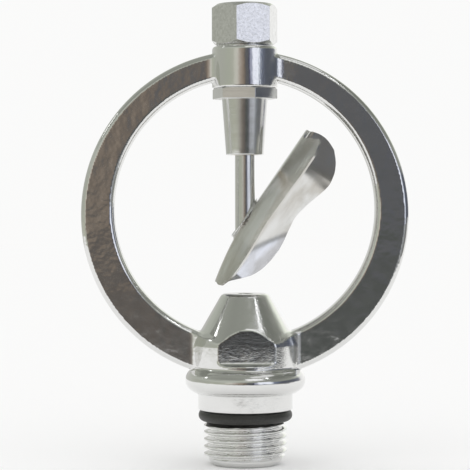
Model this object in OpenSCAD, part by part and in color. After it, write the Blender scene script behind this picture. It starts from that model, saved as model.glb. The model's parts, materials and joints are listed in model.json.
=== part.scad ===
// Rotary sprinkler head: a cast ring carries a bearing at its top and a jet nozzle at its
// foot, and a folded blade on a hanging shaft spins in the jet inside the ring.
// Millimetres, +Z up. The origin is the centre of the inlet's end face, and the ring lies
// in the XZ plane.

/* [Ring] */
// Outer radius of the ring
ring_outer_r = 41.05; // [40.8:0.05:41.6]
// Height of the centre of the ring's outer circle
ring_outer_z = 62.65; // [62.5:0.05:63.2]
// Radius of the ring's window
ring_inner_r = 32.75; // [32.2:0.05:33]
// Height of the centre of the ring's window
ring_inner_z = 64.1; // [63.8:0.1:64.4]
// Thickness of the ring from front face to back face
ring_depth = 6; // [5:0.1:6.6]
// Radius to which the ring's edges are rounded
ring_edge_r = 1.5; // [1:0.1:2]

/* [Bearing boss] */
// Radius of the boss at the top of the ring
boss_r = 8.2; // [8:0.1:8.6]
// Height of the boss's lower face
boss_z0 = 94.4; // [94.2:0.1:95]
// Height of the boss's upper face
boss_z1 = 104.8; // [104.6:0.1:105]
// Radius of the fillets from the ring's faces to the boss
boss_fillet_r = 2.5; // [1.5:0.1:3]

/* [Nozzle body] */
// Radius of the body under its cone
body_r = 12.9; // [12.6:0.1:13.1]
// Height at which the cone starts
cone_z = 30.7; // [30:0.1:31.2]
// Half angle of the cone
cone_angle = 30; // [29:0.5:31]
// Height of the nozzle's tip
tip_z = 42.9; // [42.6:0.1:43.2]
// Radius of the jet's orifice
orifice_r = 1.85; // [1.5:0.05:2.2]
// Distance of the two spanner flats from the axis
flat_apothem = 10.8; // [10.4:0.1:11.2]
// Radius of the fillets from the ring's faces to the body
body_fillet_r = 2.2; // [1.5:0.1:2.6]
// Outer radius of the bead under the body
bead_r = 15.1; // [14.6:0.1:15.2]
// Radius of the collar that the O-ring seats against
collar_r = 11.9; // [11.6:0.1:12.2]

/* [Inlet] */
// Major diameter of the G1/2 inlet thread
thread_d = 20.955; // [20.955:0.001:20.955]
// Height of the thread's upper end
thread_z1 = 11; // [10.6:0.1:11]
// Radius of the waterway in the inlet
waterway_r = 6.5; // [6:0.1:6.8]
// Outer diameter of the O-ring
o_ring_d = 23.6; // [23.4:0.1:23.8]
// Thickness of the O-ring's section
o_ring_section = 2.9; // [2.8:0.05:3]

/* [Bearing] */
// Diameter of the shaft
shaft_d = 5; // [4.9:0.05:5]
// Radial running clearance of the shaft in its bushes
bush_clearance = 0.05; // [0.02:0.01:0.1]
// Width across flats of the sleeve's hexagon
sleeve_hex = 14.4; // [13.5:0.1:14.6]
// Height of the underside of the sleeve's hexagon
sleeve_hex_z = 91.7; // [91.4:0.1:92]
// Height of the sleeve's lower end
nose_z = 77.7; // [77.4:0.1:78]
// Radius of the sleeve's nose at its lower end
nose_r = 4.72; // [4.6:0.02:5]
// Radius of the sleeve's nose under its hexagon
nose_root_r = 5.75; // [5.5:0.05:6]
// Width across flats of the cap nut
cap_hex = 14.8; // [14.6:0.1:15.2]
// Height of the cap nut's top
cap_z1 = 115.4; // [115.2:0.1:116]

/* [Blade] */
// Thickness of the blade's sheet
sheet_t = 0.6; // [0.5:0.05:0.9]
// Lean of the straight part of the fold from the vertical
fold_lean = 34.6; // [33:0.1:36]
// Length of the straight part of the fold
fold_straight = 23.7; // [22:0.1:24]
// Radius of the curved lower part of the fold
fold_curve_r = 83; // [75:1:95]
// Angle through which the fold's lower part curves
fold_turn = 14.4; // [13:0.1:16]
// Width of the flat web between the blade's two wings
web_w = 4.4; // [3.6:0.1:5]
// Radius of the sheet's bends, at the middle of its thickness
bend_r = 1.4; // [1:0.1:1.6]
// Angle of the front wing from the plane of the ring
front_angle = 55; // [48:1:60]
// Angle of the back wing from the plane of the ring, at its lower half
back_angle = 28; // [24:1:32]
// Angle of the back wing at its upper end, where it is twisted flatter
back_angle_top = 2; // [0:1:10]
// Slope by which the back wing's lower lobe is bent forward
lobe_slope = 0.4; // [0.2:0.05:0.5]

/* [Hidden] */
$fn = 96;
eps = 0.01;

// Ring
half_depth = ring_depth / 2;
// How far the edges' rounding would rise over the ring's faces, which cut it off
edge_crown = 0.04;
edge_steps = 10;
edge_reach = 10;
fillet_overlap = 0.04;
// The round bodies' seams are turned away from the ring's parting line
seam_turn = 37;
fillet_steps = 6;

// Boss and its thread for the sleeve
boss_rim_r = 1;
shank_r = 5;

// Nozzle body, from the inlet up
nose_tip_r = 7.9;
nose_round_r = 1.6;
lead_in_r = 9.4;
lead_in_z = 2.1;
thread_chamfer = 1.05;
neck_r = o_ring_d / 2 - o_ring_section + 0.05;
collar_z0 = 13.85;
collar_z1 = 18.4;
bead_round_r = 3.1;
bead_z = 21.3;
flat_z0 = 25.6;
flat_top = 36;
tip_round_r = 1.1;
waterway_z1 = 26;
orifice_z0 = 38.5;
orifice_lead = 0.35;

// Bearing stack
shaft_r = shaft_d / 2;
bush_r = 3.5;
bush_bore_r = shaft_r + bush_clearance;
lower_bush_len = 8;
sleeve_bore_r = shaft_r + 0.35;
sleeve_top_z = 110;
upper_bush_z0 = 102;
flange_r = 4.5;
flange_t = 1;
washer_r = 4.4;
washer_t = 0.5;
clip_gap = 0.1;
clip_t = 0.6;
clip_r = 4;
groove_r = 2.1;
clip_z = sleeve_top_z + flange_t + washer_t + clip_gap;
shaft_top_z = 113;
shaft_chamfer = 0.4;
axial_play = 0.3;
pad_r = 4;
pad_t = 1;
cavity_r = 4.8;
cap_skirt_h = 0.2;
cap_skirt_r = 6.9;
cap_chamfer_r = 6.95;
cap_chamfer_slope = 0.7;
cap_turn = 14.25;
sleeve_turn = -13.95;
sleeve_chamfer = 0.3;
sleeve_chamfer_slope = 0.5;
// How far the chamfering cones reach past a hexagon's corners
corner_reach = 0.6;

// Blade. s runs along the fold from the lower tip, u is the distance from the fold in the
// plane of the ring, towards the lower right.
weld_z = 64.46;
weld_x = 2;
fold_arc = fold_curve_r * fold_turn * PI / 180;
fold_len = fold_arc + fold_straight;
front_short = 2.2;
front_slant = 1.6;
back_rise = 0.7;
back_arc = 0.9;
tip_arc = 0.4;
// The back wing leaves its bend at back_angle below and at back_angle_top above. Past flat_s it
// is flat, and a facet of its own slope leads down from there.
back_twist = [[0, back_angle], [31, back_angle], [37.5, back_angle_top], [fold_len, back_angle_top]];
flat_s = 34.6;
facet_slope = 0.55;
facet_soft = 0.6;
crease_u = 5.6;
crease_s = 11.8;
crease_angle = 32.8;
crease_soft = 1.6;
front_steps = 5;
bend_steps = 3;
back_steps = 11;
stations = 38;
crowding = 40;
weld_w = 0.45;
weld_t = 0.5;
fold_centre = [weld_x, weld_z] + fold_curve_r * [cos(fold_lean), -sin(fold_lean)];
weld_low_angle = acos((fold_centre[0] + shaft_r) / fold_curve_r);
weld_low = fold_centre - fold_curve_r * [cos(weld_low_angle), -sin(weld_low_angle)];
weld_high = [shaft_r, weld_z + (shaft_r - weld_x) / tan(fold_lean)];
weld_angle = atan2(weld_high[0] - weld_low[0], weld_high[1] - weld_low[1]);

// Wing widths seen square to the ring, as [s, u]: a plain narrow wing in front and a wide
// one with two lobes behind.
front_wing = [[0, 2.1], [1.2, 2.9], [3, 3.8], [6, 4.4], [9, 4.8], [14, 5.1], [20, 5], [26, 5.1], [33, 5.3],
              [40, 5.25], [42, 4.9], [43.4, 4.4], [44.6, 3.6]];
back_wing = [[0, 2.6], [1, 3.3], [2, 4.7], [3.2, 6.4], [4.5, 8.1], [6, 9.2], [8, 10.3], [11, 11.2], [15, 11.8],
             [18, 11.7], [21, 11.2], [24, 10.7], [26, 10.7], [29.8, 11.4], [35, 12.7], [37, 12.9], [40, 12.2],
             [42.2, 11], [44, 9.4], [44.6, 8.6]];

// ---- Helpers ----

// Straight-line reading of a [position, value] table, smoothed over a short span
function smooth_lookup(x, table, span) =
    (lookup(x - span, table) + 2 * lookup(x, table) + lookup(x + span, table)) / 4;

function unit(v) = v / norm(v);

// Corner p of a profile, replaced by an arc of radius r tangent to its two sides
function corner_arc(a, p, b, r, steps) =
    let (da = unit(a - p), db = unit(b - p))
    let (half = acos(max(-1, min(1, da * db))) / 2)
    let (centre = p + unit(da + db) * r / sin(half))
    let (pa = p + da * r / tan(half), pb = p + db * r / tan(half))
    let (start = atan2(pa[1] - centre[1], pa[0] - centre[0]))
    let (end = atan2(pb[1] - centre[1], pb[0] - centre[0]))
    let (turn = end - start > 180 ? end - start - 360 : end - start < -180 ? end - start + 360 : end - start)
    [for (i = [0:steps]) centre + r * [cos(start + turn * i / steps), sin(start + turn * i / steps)]];

// Profile from [x, y, radius] corners
function rounded(corners, steps = 5) =
    let (n = len(corners))
    [for (i = [0:n - 1])
        let (p = corners[i], a = corners[(i + n - 1) % n], b = corners[(i + 1) % n])
        each p[2] > 0
            ? corner_arc([a[0], a[1]], [p[0], p[1]], [b[0], b[1]], p[2], steps)
            : [[p[0], p[1]]]];

// Half section of a wall of radius r between two rounded edges, which lead inwards for a side
// of -1 and outwards for 1
function edge_profile(r, side) =
    let (middle = half_depth + edge_crown - ring_edge_r)
    let (upper = [for (i = [0:edge_steps])
        let (turn = 90 * i / edge_steps)
        [r + side * ring_edge_r * (1 - cos(turn)), middle + ring_edge_r * sin(turn)]])
    let (half = concat(upper, [[r + side * ring_edge_r, edge_reach]]))
    concat([for (i = [len(half) - 1:-1:0]) [half[i][0], -half[i][1]]], half);

module about_y(z) {
    translate([0, 0, z]) rotate([90, 0, 0]) children();
}

module hexagon(across, height) {
    cylinder(r = across / 2 / cos(30), h = height, $fn = 6);
}

// Hexagon whose corners are turned off by a cone at each end, which cuts the end face at radius foot_r or top_r
module turned_hexagon(across, height, foot_r, top_r, slope) {
    reach = across / 2 / cos(30) + corner_reach;
    intersection() {
        hexagon(across, height);
        rotate([0, 0, seam_turn]) rotate_extrude()
            polygon([[0, 0], [foot_r, 0], [reach, slope * (reach - foot_r)],
                     [reach, height - slope * (reach - top_r)], [top_r, height], [0, height]]);
    }
}

module tube(outer, inner, height) {
    difference() {
        cylinder(r = outer, h = height);
        translate([0, 0, -1]) cylinder(r = inner, h = height + 2);
    }
}

// ---- Ring casting ----

// Disc bounded by the ring's outer wall
module outer_disc() {
    about_y(ring_outer_z) rotate_extrude($fn = 180)
        polygon(concat([[0, -edge_reach]], edge_profile(ring_outer_r, -1), [[0, edge_reach]]));
}

// Cutter for the ring's window, with its edges rounded in the same way
module window_cutter() {
    about_y(ring_inner_z) rotate_extrude($fn = 180)
        polygon(concat([[0, -edge_reach]], edge_profile(ring_inner_r, 1), [[0, edge_reach]]));
}

// Plan of half the ring from above: a strip as deep as the ring, which flares in a fillet
// on each side where it meets a round post of radius r
module flared_strip(r, fillet) {
    sunk = r - fillet_overlap;
    cx = sqrt(pow(sunk + fillet, 2) - pow(half_depth + fillet, 2));
    start = atan2(half_depth + fillet, cx);
    flare = [for (i = [0:fillet_steps])
        let (turn = -90 - (90 - start) * i / fillet_steps)
        [cx + fillet * cos(turn), half_depth + fillet + fillet * sin(turn)]];
    quarter = concat([[ring_outer_r + 1, half_depth]], flare);
    left = [for (i = [len(quarter) - 1:-1:0]) [-quarter[i][0], quarter[i][1]]];
    top = concat(quarter, left);
    polygon(concat(top, [for (i = [len(top) - 1:-1:0]) [top[i][0], -top[i][1]]]));
}

// The ring with the flares into its boss and into the nozzle body
module ring() {
    height = ring_outer_z + ring_outer_r + 1;
    difference() {
        intersection() {
            outer_disc();
            union() {
                translate([0, 0, ring_outer_z]) linear_extrude(height - ring_outer_z)
                    flared_strip(boss_r, boss_fillet_r);
                linear_extrude(ring_outer_z) flared_strip(body_r, body_fillet_r);
            }
        }
        window_cutter();
    }
}

module boss() {
    profile = rounded([[0, boss_z0, 0], [boss_r, boss_z0, boss_rim_r / 2], [boss_r, boss_z1, boss_rim_r],
                       [0, boss_z1, 0]]);
    rotate(seam_turn) rotate_extrude() polygon(profile);
}

// Outside of the nozzle body, from the inlet's end to the tip
module body_outside() {
    cone_top_r = body_r - (tip_z - cone_z) * tan(cone_angle);
    thread_r = thread_d / 2;
    profile = rounded([[0, 0, 0], [nose_tip_r, 0, nose_round_r / 2], [lead_in_r, lead_in_z, 0],
                       [thread_r, lead_in_z + thread_chamfer, 0], [thread_r, thread_z1 - thread_chamfer, 0],
                       [neck_r, thread_z1, 0], [neck_r, collar_z0, 0], [collar_r, collar_z0, 0.3],
                       [collar_r, collar_z1, 0], [body_r, collar_z1, 0], [body_r, cone_z, 0.8],
                       [cone_top_r, tip_z, tip_round_r], [0, tip_z + 0.3, 0]]);
    rotate(seam_turn) rotate_extrude() polygon(profile);
    rotate(seam_turn) bead();
}

module bead() {
    rotate_extrude() difference() {
        translate([bead_r - bead_round_r, bead_z]) circle(r = bead_round_r, $fn = 64);
        translate([-bead_r, 0]) square([bead_r + bead_r / 2, 2 * bead_z]);
    }
}

module spanner_flats() {
    for (side = [-1, 1]) {
        translate([-body_r - 1, side > 0 ? flat_apothem : -flat_apothem - body_r, flat_z0])
            cube([2 * body_r + 2, body_r, flat_top - flat_z0]);
    }
}

module waterway() {
    rotate(seam_turn) rotate_extrude() polygon([[0, -1], [waterway_r, -1], [waterway_r, waterway_z1], [orifice_r, orifice_z0],
                              [orifice_r, tip_z - orifice_lead], [orifice_r + 2 * orifice_lead, tip_z + 1],
                              [0, tip_z + 1]]);
}

module ring_casting() {
    color("silver") difference() {
        union() {
            ring();
            boss();
            body_outside();
        }
        spanner_flats();
        waterway();
        translate([0, 0, boss_z0 - 1]) cylinder(r = shank_r, h = boss_z1 - boss_z0 + 2);
    }
}

module inlet_o_ring() {
    color("dimgray") translate([0, 0, collar_z0 - o_ring_section / 2]) rotate_extrude()
        translate([(o_ring_d - o_ring_section) / 2, 0]) circle(r = o_ring_section / 2, $fn = 48);
}

// ---- Bearing ----

// Turned sleeve: tapered nose, hexagon and the threaded shank that passes through the boss
module bearing_sleeve() {
    color("darkgray") difference() {
        union() {
            rotate_extrude() polygon(rounded([[0, nose_z, 0], [nose_r, nose_z, 0.25],
                                              [nose_root_r, sleeve_hex_z + eps, 0], [0, sleeve_hex_z + eps, 0]]));
            translate([0, 0, sleeve_hex_z]) sleeve_hexagon();
            translate([0, 0, sleeve_hex_z]) cylinder(r = shank_r, h = sleeve_top_z - sleeve_hex_z);
        }
        translate([0, 0, nose_z - 1]) cylinder(r = sleeve_bore_r, h = sleeve_top_z - nose_z + 2);
        translate([0, 0, nose_z - 1]) cylinder(r = bush_r, h = lower_bush_len + 1);
        translate([0, 0, upper_bush_z0]) cylinder(r = bush_r, h = sleeve_top_z - upper_bush_z0 + 1);
    }
}

module sleeve_hexagon() {
    corner = sleeve_hex / 2 / cos(30);
    rotate([0, 0, sleeve_turn])
        turned_hexagon(sleeve_hex, boss_z0 - sleeve_hex_z, corner + corner_reach / 2,
                       corner - sleeve_chamfer / sleeve_chamfer_slope, sleeve_chamfer_slope);
}

// Blind hexagon nut, screwed over the shank and chamfered at both ends
module cap_nut() {
    foot = boss_z1 + cap_skirt_h;
    color("gainsboro") difference() {
        union() {
            translate([0, 0, foot]) rotate([0, 0, cap_turn])
                turned_hexagon(cap_hex, cap_z1 - foot, cap_chamfer_r, cap_chamfer_r, cap_chamfer_slope);
            translate([0, 0, boss_z1]) cylinder(r = cap_skirt_r, h = cap_skirt_h + eps);
        }
        translate([0, 0, boss_z1 - 1]) cylinder(r = shank_r, h = sleeve_top_z - boss_z1 + 1);
        translate([0, 0, boss_z1]) cylinder(r = cavity_r, h = shaft_top_z + axial_play - boss_z1);
        translate([0, 0, boss_z1]) cylinder(r = pad_r, h = shaft_top_z + axial_play + pad_t - boss_z1);
    }
}

module lower_bush() {
    color("burlywood") translate([0, 0, nose_z]) tube(bush_r, bush_bore_r, lower_bush_len);
}

module upper_bush() {
    color("burlywood") difference() {
        union() {
            translate([0, 0, upper_bush_z0]) cylinder(r = bush_r, h = sleeve_top_z - upper_bush_z0);
            translate([0, 0, sleeve_top_z]) cylinder(r = flange_r, h = flange_t);
        }
        translate([0, 0, upper_bush_z0 - 1]) cylinder(r = bush_bore_r, h = sleeve_top_z - upper_bush_z0 + flange_t + 2);
    }
}

module thrust_washer() {
    color("silver") translate([0, 0, sleeve_top_z + flange_t]) tube(washer_r, bush_bore_r + bush_clearance, washer_t);
}

module thrust_pad() {
    color("ivory") translate([0, 0, shaft_top_z + axial_play]) cylinder(r = pad_r, h = pad_t);
}

// ---- Rotor ----

// A slab that stands on the blade's web, square to the ring, from depth x0 to depth x1
module web_slab(x0, x1) {
    reach = 4 * shaft_d;
    translate([weld_low[0], 0, weld_low[1]]) rotate([0, weld_angle, 0])
        translate([x0, -reach, -reach]) cube([x1 - x0, 2 * reach, 3 * reach]);
}

// Upright shaft, cut off on the slant and welded to the back of the blade's fold
module shaft() {
    start_z = weld_low[1] - shaft_d;
    color("silver") difference() {
        union() {
            rotate_extrude() polygon([[0, start_z], [shaft_r, start_z], [shaft_r, clip_z], [groove_r, clip_z],
                                      [groove_r, clip_z + clip_t], [shaft_r, clip_z + clip_t],
                                      [shaft_r, shaft_top_z - shaft_chamfer],
                                      [shaft_r - shaft_chamfer, shaft_top_z], [0, shaft_top_z]]);
            intersection() {
                translate([0, 0, start_z]) cylinder(r = shaft_r + weld_w, h = 3 * shaft_d);
                web_slab(-weld_t, shaft_r);
            }
        }
        web_slab(0, 4 * shaft_d);
    }
}

// Snap-on clip: a flat ring with a mouth, gripping the groove with three lands
module retaining_clip() {
    mouth = 2 * groove_r * 0.8;
    color("dimgray") translate([0, 0, clip_z]) linear_extrude(clip_t) difference() {
        circle(r = clip_r);
        circle(r = groove_r);
        difference() {
            circle(r = clip_r - 1);
            for (land = [90, 210, 330]) {
                rotate(land) translate([clip_r / 2, 0]) square([clip_r, 1.6], center = true);
            }
        }
        translate([0, -mouth / 2 - clip_r]) translate([-mouth / 2, 0]) square([mouth, clip_r + mouth / 2]);
    }
}

// ---- Blade ----

// Lean of the fold from the vertical, and its place in the ring's plane, at s
function fold_angle(s) = s < fold_arc ? fold_lean - (fold_arc - s) / fold_curve_r * 180 / PI : fold_lean;

function fold_point(s) = s < fold_arc
    ? fold_centre - fold_curve_r * across(fold_angle(s))
    : [weld_x, weld_z] + (s - fold_arc) * [sin(fold_lean), cos(fold_lean)];

function across(angle) = [cos(angle), -sin(angle)];

// A ramp of slope 1 from 0, rounded over twice the softness
function soft_ramp(x, soft) = x < -soft ? 0 : x > soft ? x : pow(x + soft, 2) / (4 * soft);

// How far the lower lobe is bent forward, at a distance u from the fold
function lobe_bend(s, u, u0) =
    let (past = (u - crease_u) * cos(crease_angle) - (s - crease_s) * sin(crease_angle))
    lobe_slope * soft_ramp(min(past, u - u0), crease_soft);

// Height of the back wing over its root: a slanting part below, a facet, and a flat part above
function back_height(s, u, u0, angle) =
    let (low = (u - u0) * tan(angle))
    let (high = (u - u0) * tan(back_angle_top) + facet_slope * soft_ramp(flat_s - s, facet_soft))
    low - soft_ramp(low - high, facet_soft) - lobe_bend(s, u, u0);

// Share of its wing's width at which column k lies, from 0 at the bend to 1 at the free edge
function wing_share(k) = max(0, (front_steps - k) / front_steps, (k - front_steps - 2 * bend_steps - 1) / back_steps);

// Middle of the sheet at column k of the station s, as [u, y]
function section_point(k, s) =
    let (depth = web_w / 2)
    let (front = k < front_steps + bend_steps + 1)
    let (angle = front ? front_angle : smooth_lookup(s, back_twist, 1))
    let (u0 = sheet_t / 2 + bend_r * (1 - sin(angle)), y0 = depth + bend_r * cos(angle))
    let (table = front ? front_wing : back_wing)
    let (u1 = smooth_lookup(s, table, 0.6) - sheet_t / 2 * sin(angle))
    let (step = front ? front_steps - k : k - (front_steps + 2 * bend_steps + 1))
    step > 0
        ? let (u = u0 + (u1 - u0) * wing_share(k))
          [u, front ? -y0 - (u - u0) * tan(angle) : y0 + back_height(s, u, u0, angle)]
        : let (turn = (90 - angle) * (1 + step / bend_steps))
          [sheet_t / 2 + bend_r * (1 - cos(turn)), (front ? -1 : 1) * (depth + bend_r * sin(turn))];

// Middle of the sheet in space. Both wings end in arcs, and the front one ends short at the top.
function sheet_point(k, t) =
    let (share = wing_share(k), arc = 4 * share * (1 - share))
    let (front = max(0, min(1, (front_steps + bend_steps - k) / bend_steps)))
    let (back = max(0, min(1, (k - front_steps - bend_steps - 1) / bend_steps)))
    let (short = front * (front_short - front_slant * share))
    let (long = back * (back_rise * (1 - share) + back_arc * arc))
    let (s = t * (fold_len - short + long) - (1 - t) * tip_arc * arc)
    let (p = section_point(k, s))
    let (xz = fold_point(s) + p[0] * across(fold_angle(s)))
    [xz[0], p[1], xz[1]];

function sheet_normal(grid, i, k) =
    let (i0 = max(0, i - 1), i1 = min(len(grid) - 1, i + 1))
    let (k0 = max(0, k - 1), k1 = min(len(grid[0]) - 1, k + 1))
    unit(cross(grid[i1][k] - grid[i0][k], grid[i][k1] - grid[i][k0]));

// Folded sheet with a plain front wing and a twisted, two-lobed back wing
module spinner_blade() {
    columns = front_steps + 2 * (bend_steps + 1) + back_steps;
    grid = [for (i = [0:stations]) [for (k = [0:columns - 1]) sheet_point(k, station_share(i / stations))]];
    skin = [for (side = [-1, 1]) for (i = [0:stations]) for (k = [0:columns - 1])
        grid[i][k] + side * sheet_t / 2 * sheet_normal(grid, i, k)];
    back = (stations + 1) * columns;
    quads = concat(
        [for (i = [0:stations - 1]) for (k = [0:columns - 2])
            [i * columns + k, i * columns + k + 1, (i + 1) * columns + k + 1, (i + 1) * columns + k]],
        [for (i = [0:stations - 1]) for (k = [0:columns - 2])
            [back + i * columns + k, back + (i + 1) * columns + k, back + (i + 1) * columns + k + 1,
             back + i * columns + k + 1]],
        [for (i = [0:stations - 1])
            [i * columns, (i + 1) * columns, back + (i + 1) * columns, back + i * columns]],
        [for (i = [0:stations - 1]) let (a = i * columns + columns - 1)
            [a, back + a, back + a + columns, a + columns]],
        [for (k = [0:columns - 2]) [k, back + k, back + k + 1, k + 1]],
        [for (k = [0:columns - 2]) let (a = stations * columns + k) [a, a + 1, back + a + 1, back + a]]);
    color("silver") polyhedron(skin, [for (q = quads) each [[q[0], q[1], q[2]], [q[0], q[2], q[3]]]], convexity = 4);
}

// Stations crowd towards the two ends, where the outline is round
function station_share(x) = x - sin(360 * x) / 360 * crowding;

ring_casting();
inlet_o_ring();
bearing_sleeve();
cap_nut();
lower_bush();
upper_bush();
thrust_washer();
thrust_pad();
shaft();
retaining_clip();
spinner_blade();
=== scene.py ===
"""Looks of a rotary sprinkler head: a chromed ring casting on a jet nozzle, a bearing with a
cap nut at its top, and a folded steel blade welded to the shaft that hangs in the ring."""

import json
import math

import bpy
import numpy as np
import openvdb
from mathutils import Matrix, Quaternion, Vector

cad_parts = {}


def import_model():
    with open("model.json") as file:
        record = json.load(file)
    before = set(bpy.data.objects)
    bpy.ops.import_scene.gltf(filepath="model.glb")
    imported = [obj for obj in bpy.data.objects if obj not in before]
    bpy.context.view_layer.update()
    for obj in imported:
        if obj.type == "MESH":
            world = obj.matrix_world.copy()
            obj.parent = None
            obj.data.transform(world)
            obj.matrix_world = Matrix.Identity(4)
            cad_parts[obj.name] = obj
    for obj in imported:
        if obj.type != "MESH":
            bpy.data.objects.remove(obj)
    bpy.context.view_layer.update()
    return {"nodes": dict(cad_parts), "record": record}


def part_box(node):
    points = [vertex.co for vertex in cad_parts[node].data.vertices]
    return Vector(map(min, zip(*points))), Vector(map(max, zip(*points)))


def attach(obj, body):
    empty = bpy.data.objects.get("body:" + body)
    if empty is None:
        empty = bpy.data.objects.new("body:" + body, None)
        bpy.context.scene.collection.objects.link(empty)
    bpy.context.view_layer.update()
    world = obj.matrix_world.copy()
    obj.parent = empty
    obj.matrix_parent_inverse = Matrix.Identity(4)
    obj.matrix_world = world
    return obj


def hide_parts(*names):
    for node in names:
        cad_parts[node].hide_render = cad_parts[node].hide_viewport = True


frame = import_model()

MM = 0.001


def box_mm(node):
    """Lowest and highest corner of a CAD node, in millimetres."""
    low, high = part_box(node)
    return np.array(low) / MM, np.array(high) / MM


mounts = {m["name"]: m for m in frame["record"]["mounts"]}
casting_low, casting_high = box_mm("ring_casting")
o_ring_low, o_ring_high = box_mm("inlet_o_ring")
shaft_low, shaft_high = box_mm("shaft")
# How far the blade's fold leans from upright, in degrees
FOLD_LEAN = 34.6
# Spanner flats on the nozzle body: distance from the axis, height of the foot, fillet at the foot
FLAT_Y, FLAT_Z, FLAT_FILLET = 10.8, 25.6, 1.2

# ---- Mesh helpers ----


def new_object(name, points, faces, body, material):
    """A smooth-shaded piece from points in millimetres, riding on a body if one is given."""
    mesh = bpy.data.meshes.new(name)
    mesh.from_pydata((np.asarray(points) * MM).tolist(), [], faces)
    mesh.validate()
    mesh.polygons.foreach_set("use_smooth", [True] * len(mesh.polygons))
    obj = bpy.data.objects.new(name, mesh)
    bpy.context.scene.collection.objects.link(obj)
    mesh.materials.append(material)
    if body:
        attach(obj, body)
    return obj


def grid_faces(rows, columns, wrap=False):
    """Quads over a rows x columns grid of points, closed round the columns if wrap is set."""
    count = columns if wrap else columns - 1
    return [
        (
            i * columns + k,
            i * columns + (k + 1) % columns,
            (i + 1) * columns + (k + 1) % columns,
            (i + 1) * columns + k,
        )
        for i in range(rows - 1)
        for k in range(count)
    ]


def add_modifier(obj, kind, **values):
    modifier = obj.modifiers.new(kind.title(), kind)
    for key, value in values.items():
        setattr(modifier, key, value)


def round_edges(obj, radius, angle):
    """Round the edges that turn by more than angle, to a radius in millimetres."""
    add_modifier(
        obj,
        "BEVEL",
        width=radius * MM,
        segments=3,
        limit_method="ANGLE",
        angle_limit=math.radians(angle),
        harden_normals=True,
    )


# ---- Shader helpers ----


class Shader:
    """A material's node tree, built in short calls."""

    def __init__(self, name):
        self.material = bpy.data.materials.new(name)
        self.material.use_nodes = True
        self.tree = self.material.node_tree
        self.tree.nodes.clear()
        self.out = self.tree.nodes.new("ShaderNodeOutputMaterial")

    def node(self, kind, output=0, settings=None, **inputs):
        """An output of a new node. Inputs go by name, with _ for a space, or by number as i0, i1."""
        made = self.tree.nodes.new("ShaderNode" + kind)
        for key, value in (settings or {}).items():
            setattr(made, key, value)
        for key, value in inputs.items():
            numbered = key[0] == "i" and key[1:].isdigit()
            socket = made.inputs[int(key[1:]) if numbered else key.replace("_", " ")]
            if isinstance(value, bpy.types.NodeSocket):
                self.tree.links.new(value, socket)
            else:
                socket.default_value = value
        return made.outputs[output]

    def place(self):
        return self.node("TexCoord", output="Object")

    def noise(self, scale, detail=3.0, rough=0.5, vector=None, distortion=0.0):
        return self.node(
            "TexNoise",
            Vector=vector or self.place(),
            Scale=scale,
            Detail=detail,
            Roughness=rough,
            Distortion=distortion,
        )

    def stretched(self, x, y, z):
        return self.node("Mapping", Vector=self.place(), Scale=(x, y, z))

    def ramp(self, value, low, high, to_low, to_high):
        return self.node("MapRange", i0=value, i1=low, i2=high, i3=to_low, i4=to_high)

    def mix(self, factor, a, b):
        """A blend of two colours. The Mix node's colour sockets share their names, so go by number."""
        made = self.tree.nodes.new("ShaderNodeMix")
        made.data_type = "RGBA"
        for index, value in ((0, factor), (6, a), (7, b)):
            if isinstance(value, bpy.types.NodeSocket):
                self.tree.links.new(value, made.inputs[index])
            else:
                made.inputs[index].default_value = (*value, 1) if index else value
        return made.outputs[2]

    def math(self, operation, a, b=0.0):
        return self.node("Math", settings={"operation": operation}, i0=a, i1=b)

    def bump(self, height, depth, normal=None):
        """A bumped normal from a height of 0 to 1, with its depth in millimetres."""
        made = self.tree.nodes.new("ShaderNodeBump")
        made.inputs["Distance"].default_value = depth * MM
        self.tree.links.new(height, made.inputs["Height"])
        if normal:
            self.tree.links.new(normal, made.inputs["Normal"])
        return made.outputs[0]

    def finish(self, **inputs):
        surface = self.node("BsdfPrincipled", **inputs)
        self.tree.links.new(surface, self.out.inputs["Surface"])
        return self.material


# ---- Materials ----


def chrome_material():
    """Chrome plate over a hand-polished casting: wavy, least near the axis, and finely pitted on
    the right of the nozzle body."""
    s = Shader("chrome_plate")
    x, y, z = s.node("SeparateXYZ", Vector=s.place()).node.outputs
    from_axis = s.math("SQRT", s.math("ADD", s.math("POWER", x, 2.0), s.math("POWER", y, 2.0)))
    outside = s.ramp(from_axis, 13 * MM, 19 * MM, 0.3, 1)
    on_boss = s.ramp(z, 60 * MM, 90 * MM, 0, 0.7)
    wavy = s.math("MAXIMUM", outside, on_boss)
    normal = s.bump(s.math("MULTIPLY", s.noise(260, 2.0), wavy), 0.12)
    normal = s.bump(s.noise(1100, 2.0), 0.008, normal=normal)
    on_right = s.ramp(x, 1.2 * MM, 3.2 * MM, 0, 1)
    inside = s.ramp(from_axis, 12.5 * MM, 14.5 * MM, 1, 0.08)
    above_bead = s.ramp(z, 23.5 * MM, 25.5 * MM, 0, 1)
    pitted = s.math("MINIMUM", s.math("MINIMUM", on_right, inside), above_bead)
    normal = s.bump(s.math("MULTIPLY", s.noise(2400, 3.0), pitted), 0.05, normal=normal)
    rough = s.ramp(s.noise(420, 4.0), 0.3, 0.75, 0.07, 0.15)
    colour = s.mix(s.noise(150, 3.0), (0.76, 0.76, 0.75), (0.83, 0.83, 0.82))
    return s.finish(Base_Color=colour, Metallic=1.0, Roughness=rough, Normal=normal)


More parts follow.
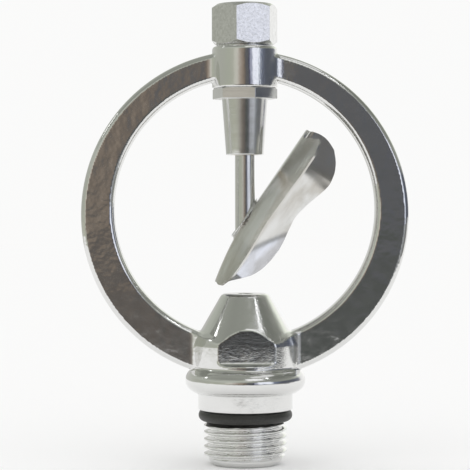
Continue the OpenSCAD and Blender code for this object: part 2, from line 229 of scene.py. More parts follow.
def painted_reflection_flat_material():
    """The spanner flats: plated as cast, coarse and speckled at the foot. Their dark colour above is a
    painted reflection of the dark surroundings they mirror.
    """
    s = Shader("as_cast_flat_painted_reflection")
    grain = s.noise(1.0, 4.0, 0.6, vector=s.stretched(600, 600, 1200), distortion=0.8)
    height = s.node("SeparateXYZ", output="Z", Vector=s.place())
    foot = s.ramp(height, FLAT_Z * MM, (FLAT_Z + 5.5) * MM, 1, 0)
    normal = s.bump(s.math("MULTIPLY", grain, s.ramp(foot, 0, 1, 0.3, 1.7)), 0.11)
    speckle = s.math("MULTIPLY", s.ramp(grain, 0.4, 0.65, 0, 1), s.ramp(foot, 0, 1, 0.1, 1))
    # Painted reflection: the dark colour stands for the dark surroundings that the flats mirror, and
    # the light speckles grow towards the foot
    colour = s.mix(speckle, (0.26, 0.27, 0.28), (0.80, 0.81, 0.79))
    return s.finish(Base_Color=colour, Metallic=1.0, Roughness=0.2, Normal=normal)


def steel_material(name, low, high, line_scale):
    """Steel of a roughness from low to high, with fine turning lines round Z if line_scale is set."""
    s = Shader(name)
    if line_scale:
        lines = s.noise(1.0, 3.0, vector=s.stretched(60, 60, line_scale))
    else:
        lines = s.noise(900, 4.0)
    normal = s.bump(lines, 0.012)
    rough = s.ramp(s.noise(500, 3.0), 0.3, 0.7, low, high)
    colour = s.mix(s.noise(240, 3.0), (0.70, 0.70, 0.69), (0.78, 0.78, 0.77))
    return s.finish(Base_Color=colour, Metallic=1.0, Roughness=rough, Normal=normal)


def brushed_material():
    """Cold-rolled sheet, with faint brush lines and tarnish along the fold."""
    s = Shader("blade_sheet_steel")
    along_fold = s.node("Mapping", Vector=s.place(), Rotation=(0, math.radians(-FOLD_LEAN), 0))
    line_place = s.node("Mapping", Vector=along_fold, Scale=(900, 900, 70))
    tarnish_place = s.node("Mapping", Vector=along_fold, Scale=(220, 220, 60))
    lines = s.noise(1.0, 4.0, 0.6, vector=line_place)
    tarnish = s.noise(1.0, 3.0, 0.55, vector=tarnish_place)
    normal = s.bump(lines, 0.006)
    normal = s.bump(s.noise(130, 1.0), 0.02, normal=normal)
    colour = s.mix(s.ramp(tarnish, 0.42, 0.62, 0, 1), (0.62, 0.60, 0.56), (0.80, 0.80, 0.79))
    colour = s.mix(s.ramp(lines, 0.3, 0.7, 0, 0.25), colour, (0.88, 0.88, 0.87))
    rough = s.ramp(tarnish, 0.3, 0.7, 0.28, 0.2)
    return s.finish(Base_Color=colour, Metallic=1.0, Roughness=rough, Normal=normal)


def nut_material():
    """Satin nickel plate with a fine sparkle."""
    s = Shader("satin_plate")
    grain = s.noise(1500, 3.0, 0.7)
    normal = s.bump(grain, 0.05)
    colour = s.mix(s.ramp(grain, 0.35, 0.65, 0, 1), (0.68, 0.68, 0.67), (0.84, 0.84, 0.84))
    return s.finish(Base_Color=colour, Metallic=1.0, Roughness=0.17, Normal=normal)


def plain_material(name, dark, light, roughness, scale, depth):
    """Rubber or plastic with a fine grain, of scale per metre and depth in millimetres."""
    s = Shader(name)
    grain = s.noise(scale, 4.0, 0.6)
    colour = s.mix(s.ramp(grain, 0.35, 0.65, 0, 1), dark, light)
    return s.finish(Base_Color=colour, Roughness=roughness, Normal=s.bump(grain, depth))


chrome = chrome_material()
# The spanner flats' material, whose dark colour is a painted reflection
flat_painted_reflection = painted_reflection_flat_material()
blade_steel = brushed_material()
turned = steel_material("turned_bright_steel", 0.12, 0.2, 9000)
spring = steel_material("spring_steel_finish", 0.25, 0.35, 0)
satin = nut_material()
rubber = plain_material("o_ring_rubber", (0.018, 0.018, 0.016), (0.032, 0.032, 0.028), 0.45, 2500, 0.02)
plastic = plain_material("bush_acetal", (0.62, 0.55, 0.42), (0.70, 0.63, 0.50), 0.45, 900, 0.01)

# ---- Ring casting, as a distance field in millimetres ----

# Ring: its outer and inner circles, which aren't concentric, and half its depth
OUTER_R, OUTER_Z = (casting_high[0] - casting_low[0]) / 2, 62.65
INNER_R, INNER_Z = 32.75, 64.1
HALF_DEPTH = 3.0
# Its edges are rounded as if the faces stood EDGE_CROWN further out, so they end at a faint line
RING_EDGE, EDGE_CROWN = 1.5, 0.04
# Flares of the ring's faces: how far inside the boss and body they end, and how gently they start
FLARE_INSIDE, FLARE_POWER = 0.35, 2.6
# Bearing boss: radius, foot, top, flare and rounded rim
BOSS_R, BOSS_Z0, BOSS_Z1, BOSS_FILLET, BOSS_RIM = 8.2, 94.4, casting_high[2], 2.5, 0.9
# Bore for the sleeve's shank: radius, and how far below the boss it starts
SHANK_R, SHANK_BELOW = 5.0, 5.0
# Nozzle body: radius, foot, foot of its cone, tip and flare, then the cone's half angle
BODY_R, BODY_Z, CONE_Z, TIP_Z, BODY_FILLET = 12.9, 18.4, 30.7, 42.9, 2.2
CONE_ANGLE = math.radians(30)
# Bead, collar and the neck above the thread, which the O-ring hides where it is cut
BEAD_R, BEAD_ROUND, BEAD_Z = 15.1, 3.1, 21.3
COLLAR_R, COLLAR_Z = 11.9, o_ring_high[2]
NECK_R, NECK_CUT_Z = 8.95, (o_ring_low[2] + o_ring_high[2]) / 2
# Waterway: radius and height where it narrows, then the orifice's radius and foot
WATER_R, WATER_Z, ORIFICE_R, ORIFICE_Z = 6.5, 26.0, 1.85, 38.5
# Fillets where forms meet
BOSS_SEAM, BODY_SEAM, BEAD_SEAM, COLLAR_SEAM = 0.35, 0.6, 0.5, 0.4
# Rounded edges
CONE_EDGE, TIP_EDGE, FLAT_EDGE, COLLAR_EDGE, BORE_EDGE = 0.3, 0.8, 0.25, 0.3, 0.2
# Grid of the field, and how often the mesh's points are moved onto its surface
VOXEL, SETTLING_STEPS = 0.3, 4
# A face is on a spanner flat if it is this near to the flat's plane and faces this much to Y
FLAT_NEAR, FLAT_FACING = 0.12, 0.97


def round_union(a, b, r, power=2):
    """Union with a fillet of radius r. A power above 2 makes its curve start gently."""
    u, v = np.maximum(r - a, 0), np.maximum(r - b, 0)
    return np.maximum(r, np.minimum(a, b)) - (u**power + v**power) ** (1 / power)


def round_common(a, b, r):
    """Intersection with its edge rounded to radius r."""
    u, v = np.maximum(r + a, 0), np.maximum(r + b, 0)
    return np.minimum(-r, np.maximum(a, b)) + np.sqrt(u * u + v * v)


def ring_field(x, y, z, rho):
    """The ring, flaring in plan into the boss above and into the nozzle body below."""
    slab = np.abs(y) - HALF_DEPTH
    upper = round_union(slab, rho - BOSS_R + FLARE_INSIDE, BOSS_FILLET, FLARE_POWER)
    lower = round_union(slab, rho - BODY_R + FLARE_INSIDE, BODY_FILLET, FLARE_POWER)
    face = np.where(z > OUTER_Z, upper, lower)
    wall = np.maximum(np.hypot(x, z - OUTER_Z) - OUTER_R, INNER_R - np.hypot(x, z - INNER_Z))
    return np.maximum(round_common(face - EDGE_CROWN, wall, RING_EDGE), face)


def cone_side(rho, z, r, foot, angle):
    """Distance from the side of a cone of radius r at its foot, narrowing upwards by angle."""
    return (rho - (r - (z - foot) * math.tan(angle))) * math.cos(angle)


def body_field(rho, z):
    body = round_common(rho - BODY_R, cone_side(rho, z, BODY_R, CONE_Z, CONE_ANGLE), CONE_EDGE)
    body = round_common(body, z - TIP_Z, TIP_EDGE)
    return np.maximum(body, BODY_Z - z)


def waterway_field(rho, z):
    lead_angle = math.atan2(WATER_R - ORIFICE_R, ORIFICE_Z - WATER_Z)
    lead = cone_side(rho, z, WATER_R, WATER_Z, lead_angle)
    wide = np.maximum(np.maximum(rho - WATER_R, lead), z - ORIFICE_Z)
    return np.minimum(wide, np.maximum(rho - ORIFICE_R, WATER_Z - z))


def casting_field(x, y, z):
    """The whole casting above the thread: below 0 inside the metal, above 0 outside it."""
    rho = np.hypot(x, y)
    boss = round_common(rho - BOSS_R, z - BOSS_Z1, BOSS_RIM)
    boss = round_common(boss, BOSS_Z0 - z, BOSS_RIM / 2)
    field = round_union(ring_field(x, y, z, rho), boss, BOSS_SEAM)
    field = round_union(field, body_field(rho, z), BODY_SEAM)
    flats = -round_common(FLAT_Y - np.abs(y), FLAT_Z - z, FLAT_FILLET)
    field = round_common(field, flats, FLAT_EDGE)
    bead = np.hypot(np.maximum(rho - (BEAD_R - BEAD_ROUND), 0), z - BEAD_Z) - BEAD_ROUND
    field = round_union(field, bead, BEAD_SEAM)
    collar = round_common(rho - COLLAR_R, COLLAR_Z - z, COLLAR_EDGE)
    field = round_union(field, np.maximum(collar, z - BEAD_Z), COLLAR_SEAM)
    field = np.minimum(field, np.maximum(rho - NECK_R, z - BEAD_Z))
    field = np.maximum(field, -np.maximum(rho - SHANK_R, BOSS_Z0 - SHANK_BELOW - z))
    field = round_common(field, -waterway_field(rho, z), BORE_EDGE)
    return np.maximum(field, NECK_CUT_Z - z)


def field_gradient(field, p, step=0.04):
    """Gradient of a field at points, by central differences, and its length."""
    g = np.empty_like(p)
    for axis in range(3):
        d = np.zeros(3)
        d[axis] = step
        g[:, axis] = field(*(p + d).T) - field(*(p - d).T)
    g /= 2 * step
    return g, np.linalg.norm(g, axis=1)


def field_mesh(name, field, low, high, body, material):
    """The zero surface of a field as quads, with its points and normals taken from the field."""
    band = 3 * VOXEL
    low, high = np.array(low) - band, np.array(high) + band
    counts = np.ceil((high - low) / VOXEL).astype(int) + 1
    axes = [low[i] + VOXEL * np.arange(counts[i]) for i in range(3)]
    values = np.empty(counts, np.float32)
    for i, x in enumerate(axes[0]):
        y, z = np.meshgrid(axes[1], axes[2], indexing="ij")
        values[i] = field(np.full_like(y, x), y, z)
    volume = openvdb.FloatGrid(band)
    volume.copyFromArray(np.clip(values, -band, band))
    points, quads = volume.convertToQuads(0.0)
    points = low + VOXEL * points.astype(float)
    for _ in range(SETTLING_STEPS):
        g, size = field_gradient(field, points)
        step = field(*points.T) / np.maximum(size, 0.5) ** 2
        points -= np.clip(step, -VOXEL, VOXEL)[:, None] * g
    g, size = field_gradient(field, points)
    normals = g / np.maximum(size, 1e-6)[:, None]
    obj = new_object(name, points, quads.tolist(), body, material)
    if len(obj.data.vertices) == len(points):
        obj.data.normals_split_custom_set_from_vertices(normals.tolist())
    return obj


casting = field_mesh(
    "casting",
    casting_field,
    (casting_low[0], -BEAD_R, NECK_CUT_Z),
    (casting_high[0], BEAD_R, BOSS_Z1),
    "head",
    chrome,
)
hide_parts("ring_casting")
# The spanner flats take the material with the painted dark reflection
casting.data.materials.append(flat_painted_reflection)
for polygon in casting.data.polygons:
    c = polygon.center / MM
    in_plane = abs(abs(c.y) - FLAT_Y) < FLAT_NEAR and abs(polygon.normal.y) > FLAT_FACING
    polygon.material_index = 1 if in_plane and c.z > FLAT_Z else 0

# ---- Inlet spigot with its G1/2 thread ----

THREAD_R = mounts["inlet_thread"]["dims"]["r_mm"]
PITCH, THREAD_DEPTH = 1.814, 1.162
# Shares of half a pitch that the root and the flank take, and how far the flank is an S curve
ROOT_SHARE, FLANK_SHARE, FLANK_SOFT = 1 / 6, 2 / 3, 0.55
# Spigot's end: its radius, chamfer and the rounded lead that it widens to over a height
NOSE_R, NOSE_CHAMFER, LEAD_R, LEAD_HEIGHT = 7.9, 0.25, 9.2, 1.2
# The thread rises from RUN_IN_Z, falls to its root at THREAD_Z, and RUN_SLOPE is how steeply.
# The neck starts at NECK_Z
RUN_IN_Z, THREAD_Z, RUN_SLOPE, NECK_Z = 1.6, 10.8, 1.3, 10.1
# Heights of the spigot's rings of points: its rounded end, then even steps through the thread
SPIGOT_START, THREAD_STEP = (0.0, 0.06, 0.2, 0.4, 0.7), 0.11
SPIGOT_COLUMNS, SPIGOT_SHARP = 160, 50
# How far the bore's mouth opens, and at which height
MOUTH = ((0, NECK_CUT_Z), (0, 0.5), (0.12, 0.15), (0.4, 0.0))


def thread_radius(z, turn):
    """Outer radius of the spigot at height z and at turn, which is 0 to 1 round the axis."""
    phase = (z / PITCH - turn) % 1.0
    flank = np.clip((np.abs(2 * phase - 1) - ROOT_SHARE) / FLANK_SHARE, 0, 1)
    smooth = (1 - FLANK_SOFT) * flank + FLANK_SOFT * flank * flank * (3 - 2 * flank)
    thread = THREAD_R - THREAD_DEPTH * (1 - smooth)
    lead = NOSE_R + (LEAD_R - NOSE_R) * np.sqrt(np.clip(z / LEAD_HEIGHT, 0, 1))
    run_in = lead + np.maximum(z - RUN_IN_Z, 0) * RUN_SLOPE
    run_out = THREAD_R - THREAD_DEPTH + np.maximum(THREAD_Z - z, 0) * RUN_SLOPE
    cut = np.minimum(thread, np.minimum(run_in, run_out))
    return np.maximum(cut, np.where(z > NECK_Z, NECK_R, 0))


def spigot():
    """The threaded inlet, from its outside over its end and up its bore to where the casting starts."""
    turn = np.arange(SPIGOT_COLUMNS) / SPIGOT_COLUMNS
    cos, sin = np.cos(2 * np.pi * turn), np.sin(2 * np.pi * turn)
    heights = [*SPIGOT_START, *np.arange(1.0, THREAD_Z + 0.5, THREAD_STEP), NECK_CUT_Z]
    radii = [thread_radius(np.full(SPIGOT_COLUMNS, z), turn) for z in heights]
    radii[0] = np.full(SPIGOT_COLUMNS, NOSE_R - NOSE_CHAMFER)
    radii += [WATER_R + wider for wider, _ in MOUTH]
    heights += [z for _, z in MOUTH]
    level = np.ones(SPIGOT_COLUMNS)
    loops = [np.stack([r * cos, r * sin, z * level], 1) for r, z in zip(radii, heights)]
    faces = grid_faces(len(loops), SPIGOT_COLUMNS, wrap=True)
    last = (len(loops) - 1) * SPIGOT_COLUMNS
    for k in range(SPIGOT_COLUMNS):
        after = (k + 1) % SPIGOT_COLUMNS
        faces.append((last + k, last + after, after, k))
    obj = new_object("inlet_spigot", np.concatenate(loops), faces, "head", chrome)
    obj.data.set_sharp_from_angle(angle=math.radians(SPIGOT_SHARP))


spigot()

# ---- Nuts and turned parts, from their CAD solids with the edges broken ----

# Points of a CAD mesh that are this near are one, and edges that turn by this much are rounded
MERGE_DISTANCE, EDGE_ANGLE = 0.002, 28


def dressed(node, name, body, material, edge):
    """A copy of a CAD node's mesh, welded, with its edges rounded, which stands for the node."""
    source = frame["nodes"][node].data
    co = np.empty(len(source.vertices) * 3)
    source.vertices.foreach_get("co", co)
    faces = [tuple(p.vertices) for p in source.polygons]
    obj = new_object(name, co.reshape(-1, 3) / MM, faces, body, material)
    add_modifier(obj, "WELD", merge_threshold=MERGE_DISTANCE * MM)
    round_edges(obj, edge, EDGE_ANGLE)
    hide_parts(node)


dressed("cap_nut", "cap_nut_plated", "head", satin, 0.22)
dressed("bearing_sleeve", "bearing_sleeve_turned", "head", turned, 0.12)
dressed("shaft", "shaft_turned", "rotor", turned, 0.08)
dressed("retaining_clip", "retaining_clip_sprung", "rotor", spring, 0.06)

for node, material, slot in (
    ("inlet_o_ring", rubber, "rubber"),
    ("lower_bush", plastic, "bush_plastic"),
    ("upper_bush", plastic, "bush_plastic"),
    ("thrust_pad", plastic, "bush_plastic"),
    ("thrust_washer", turned, "turned_steel"),
):
    obj = frame["nodes"][node]
    obj.data.materials.clear()
    obj.data.materials.append(material)

# ---- Blade ----
# s runs along the fold from its lower tip, and u is the distance from the fold in the plane
# of the ring, towards the lower right.

# Thickness of the sheet, width of the web at the fold, and radius of the bends on both sides of it
SHEET, WEB, BEND_R = 0.6, 4.4, 1.4
# The fold is curved up to WELD_POINT, given as x and z, and straight above it
WELD_POINT = np.array([2.0, 64.46])
FOLD_STRAIGHT, FOLD_CURVE_R, FOLD_TURN = 23.7, 83.0, 14.4
FOLD_ARC = FOLD_CURVE_R * math.radians(FOLD_TURN)
FOLD_LEN = FOLD_ARC + FOLD_STRAIGHT
# Angles of the wings from the plane of the ring. The back wing is twisted flatter above
FRONT_ANGLE, BACK_ANGLE, BACK_ANGLE_TOP = 55.0, 28.0, 2.0
BACK_TWIST = ((0, BACK_ANGLE), (31, BACK_ANGLE), (37.5, BACK_ANGLE_TOP), (FOLD_LEN, BACK_ANGLE_TOP))
# Crease across the lower lobe: a point on it, its angle, how soft it is, and the slope past it
CREASE_U, CREASE_S, CREASE_ANGLE, CREASE_SOFT, LOBE_SLOPE = 5.6, 11.8, 32.8, 1.6, 0.4
# Facet below the flat upper part: where it ends, its slope and how soft its borders are
FLAT_S, FACET_SLOPE, FACET_SOFT = 34.6, 0.55, 1.6
# Ends: how much shorter the front wing is, how much of that it regains at its edge, how far the
# back wing rises beside the fold, and how far the ends bulge above and below
FRONT_SHORT, FRONT_SLANT, BACK_RISE, BACK_ARC, TIP_ARC = 2.2, 1.6, 0.7, 0.9, 0.4
# Mesh: columns in each part of the section, stations along the fold, and how much they crowd
# towards its ends
FRONT_STEPS, BEND_STEPS, BACK_STEPS, STATIONS, CROWDING = 14, 7, 34, 130, 1 / 9
# Rounding of its edges, the turn from which they are rounded, and the turn from which they look sharp
BLADE_EDGE, BLADE_EDGE_ANGLE, BLADE_SHARP = 0.24, 50, 40
# Widths of the wings as s and u
FRONT_WING = (
    (0, 2.1), (1.2, 2.9), (3, 3.8), (6, 4.4), (9, 4.8), (14, 5.1), (20, 5), (26, 5.1), (33, 5.3),
    (40, 5.25), (42, 4.9), (43.4, 4.4), (44.6, 3.6),
)
BACK_WING = (
    (0, 2.6), (1, 3.3), (2, 4.7), (3.2, 6.4), (4.5, 8.1), (6, 9.2), (8, 10.3), (11, 11.2), (15, 11.8),
    (18, 11.7), (21, 11.2), (24, 10.7), (26, 10.7), (29.8, 11.4), (35, 12.7), (37, 12.9), (40, 12.2),
    (42.2, 11), (44, 9.4), (44.6, 8.6),
)


def across(angle):
    """Unit vector square to the fold where it leans by angle, as x and z."""
    return np.array([math.cos(angle), -math.sin(angle)])


def fold_angle(s):
    """Lean of the fold at s, in radians from upright."""
    lean = math.radians(FOLD_LEAN)
    return lean - (FOLD_ARC - s) / FOLD_CURVE_R if s < FOLD_ARC else lean


def fold_point(s):
    """Point of the fold at s, as x and z."""
    lean = math.radians(FOLD_LEAN)
    centre = WELD_POINT + FOLD_CURVE_R * across(lean)
    if s < FOLD_ARC:
        return centre - FOLD_CURVE_R * across(fold_angle(s))
    return WELD_POINT + (s - FOLD_ARC) * np.array([math.sin(lean), math.cos(lean)])


def smooth_lookup(x, table, span):
    """The table's value at x, averaged over the span on both sides."""
    xs, ys = zip(*table)
    a, b, c = np.interp([x - span, x, x + span], xs, ys)
    return (a + 2 * b + c) / 4


def soft_ramp(x, soft):
    """0 below zero and x above it, with a parabola between -soft and soft."""
    return 0.0 if x < -soft else x if x > soft else (x + soft) ** 2 / (4 * soft)


def lobe_bend(s, u, u0):
    """How far the lower lobe is bent down past the crease."""
    angle = math.radians(CREASE_ANGLE)
    past = (u - CREASE_U) * math.cos(angle) - (s - CREASE_S) * math.sin(angle)
    return LOBE_SLOPE * soft_ramp(min(past, u - u0), CREASE_SOFT)


def back_height(s, u, u0, angle):
    """Height of the back wing over its root: a slant below, a facet, and a flat part above."""
    low = (u - u0) * math.tan(angle)
    high = (u - u0) * math.tan(math.radians(BACK_ANGLE_TOP))
    high += FACET_SLOPE * soft_ramp(FLAT_S - s, FACET_SOFT)
    return low - soft_ramp(low - high, FACET_SOFT) - lobe_bend(s, u, u0)


def wing_share(k):
    """Where column k lies on its wing, from 0 at the bend to 1 at the free edge."""
    return max(0, (FRONT_STEPS - k) / FRONT_STEPS, (k - FRONT_STEPS - 2 * BEND_STEPS - 1) / BACK_STEPS)


def section_point(k, s):
    """Middle of the sheet at column k of the station s, as u and y."""
    front = k < FRONT_STEPS + BEND_STEPS + 1
    angle = math.radians(FRONT_ANGLE if front else smooth_lookup(s, BACK_TWIST, 1))
    u0, y0 = SHEET / 2 + BEND_R * (1 - math.sin(angle)), WEB / 2 + BEND_R * math.cos(angle)
    u1 = smooth_lookup(s, FRONT_WING if front else BACK_WING, 0.6) - SHEET / 2 * math.sin(angle)
    step = FRONT_STEPS - k if front else k - (FRONT_STEPS + 2 * BEND_STEPS + 1)
    if step > 0:
        u = u0 + (u1 - u0) * wing_share(k)
        return u, -y0 - (u - u0) * math.tan(angle) if front else y0 + back_height(s, u, u0, angle)
    turn = (math.pi / 2 - angle) * (1 + step / BEND_STEPS)
    y = WEB / 2 + BEND_R * math.sin(turn)
    return SHEET / 2 + BEND_R * (1 - math.cos(turn)), -y if front else y


def sheet_point(k, t):
    """Middle of the sheet at column k and share t of the fold's length, in space. Both wings end
    in arcs, and the front one ends short above."""
    share = wing_share(k)
    arc = 4 * share * (1 - share)
    front = max(0, min(1, (FRONT_STEPS + BEND_STEPS - k) / BEND_STEPS))
    back = max(0, min(1, (k - FRONT_STEPS - BEND_STEPS - 1) / BEND_STEPS))
    short = front * (FRONT_SHORT - FRONT_SLANT * share)
    longer = back * (BACK_RISE * (1 - share) + BACK_ARC * arc)
    s = t * (FOLD_LEN - short + longer) - (1 - t) * TIP_ARC * arc
    u, y = section_point(k, s)
    x, z = fold_point(s) + u * across(fold_angle(s))
    return x, y, z


def blade():
    """The folded sheet: two skins of a grid, joined all round their rim."""
    columns, rows = FRONT_STEPS + 2 * (BEND_STEPS + 1) + BACK_STEPS, STATIONS + 1
    shares = [x - math.sin(2 * math.pi * x) * CROWDING for x in np.linspace(0, 1, rows)]
    middle = np.array([[sheet_point(k, t) for k in range(columns)] for t in shares])
    normal = np.cross(np.gradient(middle, axis=0), np.gradient(middle, axis=1))
    normal /= np.linalg.norm(normal, axis=2)[:, :, None]
    skins = [middle - SHEET / 2 * normal, middle + SHEET / 2 * normal]
    back = rows * columns
    faces = grid_faces(rows, columns)
    faces += [tuple(reversed([back + i for i in f])) for f in faces]
    rim = list(range(columns))
    rim += [i * columns + columns - 1 for i in range(1, rows)]
    rim += [(rows - 1) * columns + k for k in range(columns - 2, -1, -1)]
    rim += [i * columns for i in range(rows - 2, 0, -1)]
    for a, b in zip(rim, rim[1:] + rim[:1]):
        faces.append((b, a, back + a, back + b))
    points = np.concatenate([skin.reshape(-1, 3) for skin in skins])
    obj = new_object("blade", points, faces, "rotor", blade_steel)
    obj.data.set_sharp_from_angle(angle=math.radians(BLADE_SHARP))
    round_edges(obj, BLADE_EDGE, BLADE_EDGE_ANGLE)
    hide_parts("spinner_blade")


blade()

# ---- Weld ----

# Azimuth of its middle on the shaft and its reach to both sides, in degrees, and its height over
# the fold
WELD_MIDDLE, WELD_REACH, WELD_UP = -35, 80, 0.25
# Radius of the bead at its ends, what its middle adds, and the share and pace of its ripples
WELD_END_R, WELD_R, WELD_RIPPLE, WELD_PACE = 0.08, 0.42, 0.12, 1.3
WELD_ROWS, WELD_COLUMNS = 72, 12


def weld():
    """The rippled bead that runs round the shaft's front where it meets the slant of the fold."""
    shaft_r = (shaft_high[0] - shaft_low[0]) / 2
    slope = 1 / math.tan(math.radians(FOLD_LEAN))
    points = []
    for i, share in enumerate(np.linspace(-1, 1, WELD_ROWS)):
        turn = math.radians(WELD_MIDDLE + WELD_REACH * share)
        sin, cos = math.sin(turn), math.cos(turn)
        z = WELD_POINT[1] + (shaft_r * sin - WELD_POINT[0]) * slope + WELD_UP
        ripple = 1 + WELD_RIPPLE * math.sin(i * WELD_PACE)
        radius = (WELD_END_R + WELD_R * math.sqrt(1 - share * share)) * ripple
        for k in range(WELD_COLUMNS):
            a = 2 * math.pi * k / WELD_COLUMNS
            r = shaft_r + radius * math.cos(a)
            points.append((r * sin, -r * cos, z + radius * math.sin(a)))
    faces = grid_faces(WELD_ROWS, WELD_COLUMNS, wrap=True)
    faces.append(tuple(range(WELD_COLUMNS)))
    faces.append(tuple(reversed(range(len(points) - WELD_COLUMNS, len(points)))))
    new_object("shaft_weld", points, faces, "rotor", turned)


weld()

# ---- Studio: a pale floor inside a light tent, which is fixed round the object ----

# Radius of the tent in millimetres, and the elevation of its foot in degrees
TENT_R, TENT_FOOT = 2000, -30
TENT_COLUMNS, TENT_ROWS = 360, 120
# Each zone holds between two elevations in degrees: 0 the horizon, 1 to 3 the bands, 4 the top
ZONE_ELEVATIONS = (0, 13, 18, 24, 29, 33, 38, 54, 60, 90)
ZONES = (0, 0, 1, 1, 2, 2, 3, 3, 4, 4)
# Azimuth from the front in degrees, positive to the right, the colour at the horizon, and how
# bright the tent is in the three bands above it
TENT = (
    (-180, (0.70, 0.70, 0.68), 0.60, 0.60, 0.44),
    (-165, (0.57, 0.57, 0.55), 0.52, 0.58, 0.44),
    (-125, (0.50, 0.51, 0.46), 0.50, 0.46, 0.42),
    (-108, (0.45, 0.46, 0.41), 0.50, 0.42, 0.38),
    (-90, (0.44, 0.45, 0.40), 0.50, 0.38, 0.35),
    (-60, (0.44, 0.46, 0.39), 0.53, 0.42, 0.31),
    (-44, (0.47, 0.48, 0.41), 0.55, 0.48, 0.31),
    (-36, (0.60, 0.60, 0.53), 0.56, 0.50, 0.31),
    (-28, (0.62, 0.60, 0.54), 0.56, 0.52, 0.31),
    (-20, (0.44, 0.39, 0.34), 0.50, 0.53, 0.31),
    (-10, (0.32, 0.265, 0.215), 0.44, 0.54, 0.31),
    (-2, (0.18, 0.15, 0.125), 0.42, 0.56, 0.32),
    (2, (0.125, 0.125, 0.13), 0.40, 0.58, 0.32),
    (11, (0.115, 0.12, 0.13), 0.36, 0.58, 0.32),
    (13, (0.075, 0.075, 0.12), 0.34, 0.55, 0.33),
    (15, (0.075, 0.075, 0.12), 0.33, 0.46, 0.34),
    (17, (0.38, 0.40, 0.50), 0.33, 0.42, 0.34),
    (23, (0.44, 0.46, 0.57), 0.32, 0.40, 0.34),
    (26, (1.04, 1.08, 1.24), 0.31, 0.38, 0.33),
    (30, (1.04, 1.08, 1.24), 0.30, 0.36, 0.32),
    (32, (0.42, 0.46, 0.60), 0.30, 0.34, 0.31),
    (35, (0.42, 0.46, 0.60), 0.30, 0.33, 0.30),
    (37, (1.04, 1.10, 1.22), 0.30, 0.32, 0.30),
    (48, (1.04, 1.10, 1.22), 0.29, 0.29, 0.28),
    (54, (0.22, 0.25, 0.34), 0.28, 0.28, 0.26),
    (72, (0.10, 0.11, 0.14), 0.30, 0.27, 0.22),
    (96, (0.10, 0.11, 0.13), 0.34, 0.25, 0.20),
    (110, (0.15, 0.16, 0.19), 0.38, 0.26, 0.24),
    (124, (0.24, 0.25, 0.28), 0.60, 0.50, 0.34),
    (132, (0.90, 0.90, 0.90), 1.04, 0.60, 0.40),
    (160, (1.08, 1.08, 1.06), 1.04, 0.66, 0.44),
    (172, (1.08, 1.08, 1.06), 1.00, 0.64, 0.46),
    (180, (0.74, 0.74, 0.72), 0.64, 0.60, 0.44),
)
TENT_TOP = (0.325, 0.338, 0.302)
# Lamps on the tent: azimuth and elevation of the middle, half width, half height and soft edge, all
# in degrees, and the colour
LAMPS = (
    (20, 43, 17, 7, 4, (1.05, 1.05, 1.06)),
    (70, 66, 46, 5, 4, (0.80, 0.80, 0.80)),
    (35, 12, 11, 6, 2.5, (1.02, 1.05, 1.16)),
    (-97.5, 36, 0.9, 3.5, 1.2, (6, 6, 6)),
    (52, 49.5, 1.2, 2.2, 0.8, (9, 9, 9.4)),
)
# Azimuth, how far the table reaches there in millimetres, and what mirrors see beyond it
TABLE = (
    (-180, 420, (0.62, 0.62, 0.60)),
    (-130, 380, (0.52, 0.53, 0.48)),
    (-60, 380, (0.50, 0.51, 0.42)),
    (-44, 330, (0.46, 0.46, 0.40)),
    (-30, 200, (0.30, 0.28, 0.25)),
    (-14, 185, (0.14, 0.125, 0.112)),
    (-2, 185, (0.125, 0.113, 0.104)),
    (2, 185, (0.090, 0.096, 0.092)),
    (20, 190, (0.10, 0.105, 0.10)),
    (28, 200, (0.34, 0.35, 0.36)),
    (54, 200, (0.34, 0.35, 0.36)),
    (62, 200, (0.22, 0.23, 0.22)),
    (84, 200, (0.21, 0.21, 0.21)),
    (96, 260, (0.60, 0.60, 0.59)),
    (110, 600, (0.98, 0.98, 0.97)),
    (172, 600, (0.98, 0.98, 0.97)),
    (180, 420, (0.62, 0.62, 0.60)),
)
# Width of the table's soft edge, as a share of its reach
TABLE_FADE = 0.14
# Radii of the floor's rings of points, closest where the table's edge lies
FLOOR_RINGS = (0.001, 50, 100, 150, *range(170, 460, 12), 520, 650, 900, 1300, TENT_R)
FLOOR_COLUMNS = 180
PALE = (0.96, 0.96, 0.955, 1)


def table_at(azimuth, table, column):
    """A table's numbers or colours at an array of azimuths, always as three columns."""
    azimuths = [row[0] for row in table]
    values = np.array([np.broadcast_to(row[column], 3) for row in table])
    return np.stack([np.interp(azimuth, azimuths, values[:, i]) for i in range(3)], -1)


def tent_level(azimuth, elevation):
    """The tent's colour at arrays of azimuth and elevation."""
    tint = np.array(TENT_TOP) / max(TENT_TOP)
    bands = [table_at(azimuth, TENT, 1)]
    bands += [table_at(azimuth, TENT, k) * tint for k in (2, 3, 4)]
    bands.append(np.broadcast_to(TENT_TOP, bands[0].shape))
    zone = np.interp(elevation, ZONE_ELEVATIONS, ZONES)[:, None]
    level = sum(band * np.clip(1 - abs(zone - k), 0, 1) for k, band in enumerate(bands))
    for lamp_azimuth, lamp_elevation, half_width, half_height, edge, colour in LAMPS:
        narrow = math.cos(math.radians(lamp_elevation))
        out = np.maximum(abs(azimuth - lamp_azimuth) - half_width, 0) * narrow
        up = np.maximum(abs(elevation - lamp_elevation) - half_height, 0)
        share = np.clip(1 - np.hypot(out, up) / edge, 0, 1)[:, None]
        level = level + share * share * (3 - 2 * share) * (np.array(colour) - level)
    return level


def mirror_only(s, level, plain, share=1.0):
    """Glossy rays see the level, by share, and all other rays see the plain shader."""
    seen = s.node("Emission", Color=level, Strength=1.0)
    factor = s.math("MULTIPLY", s.node("LightPath", output="Is Glossy Ray"), share)
    s.tree.links.new(s.node("MixShader", i0=factor, i1=plain, i2=seen), s.out.inputs["Surface"])
    s.material.cycles.emission_sampling = "NONE"


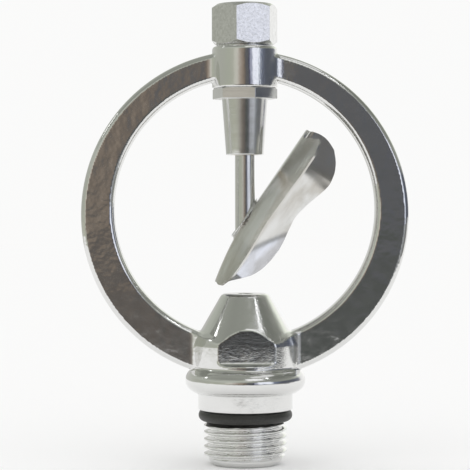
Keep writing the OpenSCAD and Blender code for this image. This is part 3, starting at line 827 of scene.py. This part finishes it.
def polar_grid(rows, columns):
    """Rows and azimuths in degrees, from -180 up, of all the points of a grid."""
    turns = np.arange(columns) * 360 / columns - 180
    row, azimuth = np.meshgrid(rows, turns, indexing="ij")
    return row.ravel(), azimuth.ravel()


def paint(obj, colours):
    """Give the points the colours and alphas that the material reads as "level"."""
    attribute = obj.data.attributes.new("level", "FLOAT_COLOR", "POINT")
    attribute.data.foreach_set("color", np.asarray(colours, np.float32).ravel())


def tent():
    """A tent that only mirrors see in detail. To matt surfaces it is an even white."""
    elevation, azimuth = polar_grid(np.linspace(TENT_FOOT, 90, TENT_ROWS + 1), TENT_COLUMNS)
    a, e = np.radians(azimuth), np.radians(elevation)
    points = np.stack([np.sin(a) * np.cos(e), -np.cos(a) * np.cos(e), np.sin(e)], 1) * TENT_R
    s = Shader("tent_light")
    level = s.node("Attribute", settings={"attribute_name": "level"})
    mirror_only(s, level, s.node("Emission", Color=(1, 1, 1, 1), Strength=1.0))
    faces = grid_faces(TENT_ROWS + 1, TENT_COLUMNS, wrap=True)
    obj = new_object("tent", points, faces, None, s.material)
    paint(obj, np.insert(tent_level(azimuth, elevation), 3, 1, axis=1))
    obj.visible_camera = False


def floor():
    """A pale floor. Past the table's edge, mirrors see the room and the foot of the tent."""
    radius, azimuth = polar_grid(FLOOR_RINGS, FLOOR_COLUMNS)
    edge = table_at(azimuth, TABLE, 1)[:, 0]
    share = np.clip((radius / edge - 1) / TABLE_FADE, 0, 1)
    a = np.radians(azimuth)
    points = np.stack([np.sin(a) * radius, -np.cos(a) * radius, 0 * a], 1)
    s = Shader("pale_floor")
    level = s.node("Attribute", settings={"attribute_name": "level"})
    mirror_only(s, level, s.node("BsdfDiffuse", Color=PALE), level.node.outputs["Alpha"])
    faces = grid_faces(len(FLOOR_RINGS), FLOOR_COLUMNS, wrap=True)
    obj = new_object("floor", points, faces, None, s.material)
    paint(obj, np.insert(table_at(azimuth, TABLE, 2), 3, share, axis=1))


def world():
    made = bpy.data.worlds.new("studio")
    bpy.context.scene.world = made
    made.use_nodes = True
    background = made.node_tree.nodes["Background"]
    background.inputs["Color"].default_value = PALE
    background.inputs["Strength"].default_value = 1.0


tent()
floor()
world()

# ---- Camera ----

CAMERA_AT = Vector((-16, -457, 67)) * MM
CAMERA_TO = Vector((-2.54, 0, 57.6)) * MM
# Roll in radians, then focal length and sensor width in the lens's own millimetres
CAMERA_ROLL = -0.0018
LENS, SENSOR = 139.4, 36


def camera():
    data = bpy.data.cameras.new("camera")
    data.lens = LENS
    data.sensor_width = SENSOR
    data.clip_start = 0.01
    obj = bpy.data.objects.new("camera", data)
    obj.location = CAMERA_AT
    aim = (CAMERA_TO - CAMERA_AT).to_track_quat("-Z", "Y")
    obj.rotation_euler = (aim @ Quaternion((0, 0, 1), CAMERA_ROLL)).to_euler()
    bpy.context.scene.collection.objects.link(obj)
    bpy.context.scene.camera = obj


camera()
bpy.context.scene.view_settings.view_transform = "Standard"
